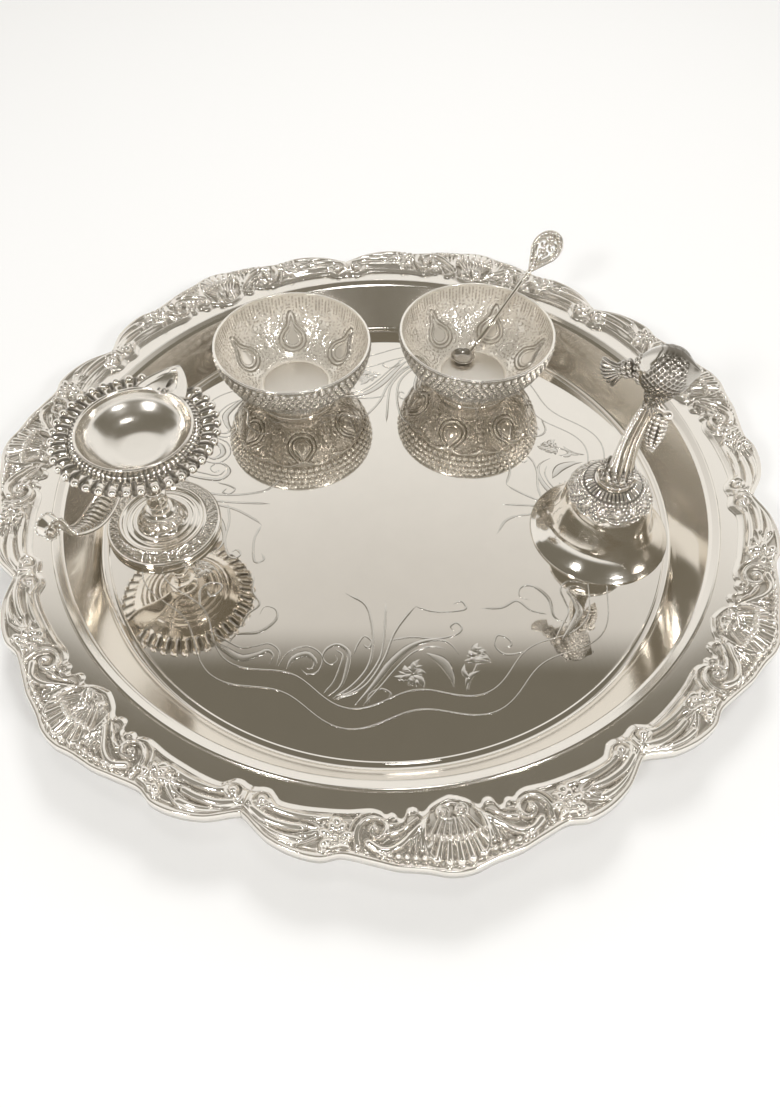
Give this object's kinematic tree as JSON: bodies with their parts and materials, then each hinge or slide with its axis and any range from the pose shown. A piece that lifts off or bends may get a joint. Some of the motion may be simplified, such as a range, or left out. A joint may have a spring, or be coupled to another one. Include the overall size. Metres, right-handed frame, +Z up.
{
  "type": "worship tray set",
  "caption": "Round silver-plated worship tray with a cast shell border, holding an oil lamp, bowls, a small spoon and a hand bell.",
  "frame": {"origin": "on the table under the middle of the tray", "axes": "+Z up, +Y away from the person who uses the set, +X to that person's right"},
  "size_m": [0.3275, 0.3268, 0.1029],
  "materials": {
    "polished_silver": "polished silver plate",
    "cast_silver": "polished silver plate over a cast relief",
    "chased_silver": "silver plate with embossed and chased ornament",
    "plain_steel": "plain plated steel"
  },
  "bodies": {
    "tray": {"tray_plate": "polished_silver", "border_mount_1": "cast_silver", "border_mount_2": "cast_silver", "border_mount_3": "cast_silver", "border_mount_4": "cast_silver", "border_mount_5": "cast_silver", "border_mount_6": "cast_silver", "border_mount_7": "cast_silver"},
    "lamp": {"lamp_base": "polished_silver", "lamp_stem": "polished_silver", "lamp_petal_dish": "cast_silver", "lamp_cup": "polished_silver", "lamp_handle": "cast_silver", "lamp_stud": "plain_steel", "lamp_nut": "plain_steel"},
    "bowl_left": {"bowl_left_shell": "chased_silver", "bowl_left_foot": "polished_silver"},
    "bowl_right": {"bowl_right_shell": "chased_silver", "bowl_right_foot": "polished_silver"},
    "spoon": {"spoon_ladle": "polished_silver", "spoon_stem": "polished_silver", "spoon_finial": "cast_silver"},
    "bell": {"bell_cup": "polished_silver", "bell_handle": "cast_silver", "bell_eye_bolt": "plain_steel", "bell_nut": "plain_steel"},
    "clapper_link": {"clapper_link": "plain_steel"},
    "clapper": {"clapper": "plain_steel"}
  },
  "joints": [
    {"name": "lamp_lift", "type": "slide", "parent": "tray", "child": "lamp", "axis": [0, 0, 1], "range_m": [0, 0.06]},
    {"name": "bowl_left_lift", "type": "slide", "parent": "tray", "child": "bowl_left", "axis": [0, 0, 1], "range_m": [0, 0.05]},
    {"name": "bowl_right_lift", "type": "slide", "parent": "tray", "child": "bowl_right", "axis": [0, 0, 1], "range_m": [0, 0.05]},
    {"name": "spoon_lift", "type": "slide", "parent": "bowl_right", "child": "spoon", "axis": [0, 0, 1], "range_m": [0, 0.05]},
    {"name": "bell_lift", "type": "slide", "parent": "tray", "child": "bell", "axis": [0, 0, 1], "range_m": [0, 0.06]},
    {"name": "link_swing", "type": "hinge", "parent": "bell", "child": "clapper_link", "pos_m": [0.09178, -0.01372, 0.0244], "axis": [1, 0, 0], "range_deg": [-40, 40]},
    {"name": "clapper_swing", "type": "hinge", "parent": "clapper_link", "child": "clapper", "pos_m": [0.09178, -0.01372, 0.0202], "axis": [0, 1, 0], "range_deg": [-40, 40]}
  ]
}
